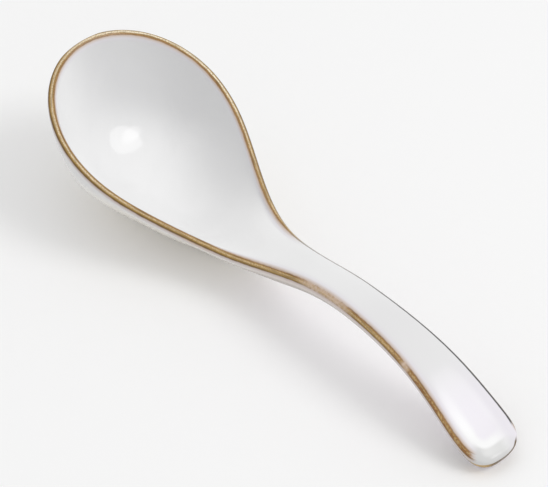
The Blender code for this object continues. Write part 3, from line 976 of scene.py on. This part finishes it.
    def darkness(self, part):
        """How dark the brown is: more towards its outer border, and in streaks and grains."""
        most = self.scaled(self.handle, HANDLE_DARK - BOWL_DARK, BOWL_DARK)
        outer = self.times(self.rise(part, *DARK_STARTS), most)
        streaks = self.rise(self.noise(self.drawn_out(*DARK_STREAKS), 1.0, detail=3.0), *DARK_BY_STREAKS)
        grain = self.rise(self.noise(self.on_band, GRAIN, detail=3.0), *DARK_BY_GRAIN)
        return self.math("MAXIMUM", self.math("MAXIMUM", outer, streaks), grain)

    def with_tip_line(self, colour):
        """A colour with the brown line under the tip, darkened along its top on the far side by painted
        shade.
        """
        below = self.math("ADD", self.fact("tip_line_mm"), self.times(self.wander, TIP_WANDER))
        line = self.times(self.rise(below, *TIP_LINE_STARTS), self.rise(below, *TIP_LINE_ENDS))
        # Painted shade darkens the top of the tip line on the far side
        dark = self.times(self.rise(below, *TIP_DARK_ENDS), self.fact("far_side"))
        brown = self.mix(dark, PALE_OCHRE, DARK_BROWN)
        return self.mix(self.times(line, self.fact("at_tip")), colour, brown)

    def roughness(self, brown):
        """Gloss, sharpest in the bowl and a little duller on the brown."""
        white = self.scaled(self.pooled, -HOLLOW_SMOOTHER, GLAZE_ROUGHNESS)
        white = self.scaled(self.clouds, CLOUDS_ROUGHER, white)
        return self.scaled(brown, BROWN_ROUGHER, white)


def clay_material():
    """Bare fired clay: matt, grainy and specked."""
    n = Nodes("bare_stoneware")
    grain = n.noise(n.place(), CLAY_GRAIN, detail=4.0)
    specks = n.rise(n.noise(n.place(), CLAY_SPECKS), *SPECKS_START)
    darker, lighter = [tuple(factor * c for c in CLAY) for factor in (CLAY_DARKER, CLAY_LIGHTER)]
    shade = n.mix(n.noise(n.place(), CLAY_CLOUDS), darker, lighter)
    n.put(n.shader.inputs["Base Color"], n.mix(specks, shade, CLAY_SPECK))
    n.put(n.shader.inputs["Roughness"], n.rise(grain, *CLAY_ROUGHNESS))
    n.bump(grain, CLAY_DEPTH)
    return n.material


def lay_floor():
    """A plain pale floor."""
    reach = FLOOR_REACH
    corners = [(-reach, -reach, 0.0), (reach, -reach, 0.0), (reach, reach, 0.0), (-reach, reach, 0.0)]
    mesh = bpy.data.meshes.new("floor")
    mesh.from_pydata(corners, [], [(0, 1, 2, 3)])
    floor = bpy.data.objects.new("floor", mesh)
    bpy.context.scene.collection.objects.link(floor)
    n = Nodes("floor")
    n.put(n.shader.inputs["Base Color"], FLOOR)
    n.put(n.shader.inputs["Roughness"], FLOOR_ROUGHNESS)
    n.put(n.shader.inputs["Specular IOR Level"], 0.0)
    mesh.materials.append(n.material)


def softbox(name, towards, width, height, power, distance):
    """An oval lamp that lies in a direction and faces the spoon."""
    lamp = bpy.data.lights.new(name, "AREA")
    lamp.shape = "ELLIPSE"
    lamp.size = width
    lamp.size_y = height
    lamp.energy = power
    obj = bpy.data.objects.new(name, lamp)
    obj.location = towards * distance
    obj.rotation_euler = towards.to_track_quat("Z", "Y").to_euler()
    bpy.context.scene.collection.objects.link(obj)


def light_scene():
    """Softboxes in a pale room, with an even backdrop for what the camera and the gloss see."""
    softbox("key", *KEY)
    softbox("key_core", *KEY_CORE)
    softbox("overhead", *OVERHEAD)
    world = bpy.data.worlds.new("room")
    world.use_nodes = True
    bpy.context.scene.world = world
    nodes, links = world.node_tree.nodes, world.node_tree.links
    level = nodes.new("ShaderNodeMix")
    rays = nodes.new("ShaderNodeLightPath").outputs
    seen = rays["Is Camera Ray"]
    for kind in ("Is Glossy Ray", "Is Transmission Ray"):
        either = nodes.new("ShaderNodeMath")
        either.operation = "MAXIMUM"
        links.new(seen, either.inputs[0])
        links.new(rays[kind], either.inputs[1])
        seen = either.outputs[0]
    links.new(seen, level.inputs[0])
    level.inputs[2].default_value = ROOM
    level.inputs[3].default_value = BACKDROP
    sky = nodes["Background"]
    sky.inputs["Color"].default_value = (1.0, 1.0, 1.0, 1.0)
    links.new(level.outputs[0], sky.inputs["Strength"])


def place_camera():
    """The camera at the photograph's angle."""
    lens = bpy.data.cameras.new("camera")
    lens.sensor_fit = "HORIZONTAL"
    lens.sensor_width = CAMERA_SENSOR
    lens.lens = CAMERA_LENS
    camera = bpy.data.objects.new("camera", lens)
    level = np.cos(CAMERA_ELEVATION)
    right, near = np.sin(CAMERA_AZIMUTH) * level, -np.cos(CAMERA_AZIMUTH) * level
    back = Vector((right, near, np.sin(CAMERA_ELEVATION)))
    camera.location = CAMERA_TARGET + back * CAMERA_DISTANCE
    camera.rotation_euler = back.to_track_quat("Z", "Y").to_euler()
    bpy.context.scene.collection.objects.link(camera)
    bpy.context.scene.camera = camera


skin = Skin()
coats = Coats(skin)
upper_glaze = coats.coat("white_glaze_top", skin.on_upper)
under_glaze = coats.coat("white_glaze_base", skin.on_under)
rim_band = coats.coat("brown_rim", skin.on_band)
for place, centre, length, width in (
    ("bowl_hole", BOWL_FOOT_AT, BOWL_FOOT_LENGTH, BOWL_FOOT_WIDTH),
    ("tip_hole", TIP_FOOT_AT, TIP_FOOT_LENGTH, TIP_FOOT_WIDTH),
):
    cut(under_glaze, block(place, centre, length + 2 * FOOT_ROOM, width + 2 * FOOT_ROOM))

coats.finish(upper_glaze, Glaze("white_glaze_above").material, "upper_glaze")
coats.finish(under_glaze, Glaze("white_glaze_below").material, "under_glaze")
coats.finish(rim_band, Glaze("brown_glaze").material, "rim_band")
for clay_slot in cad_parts["stoneware_body"].material_slots:
    clay_slot.material = clay_material()

lay_floor()
light_scene()
place_camera()
bpy.context.scene.view_settings.view_transform = "Standard"
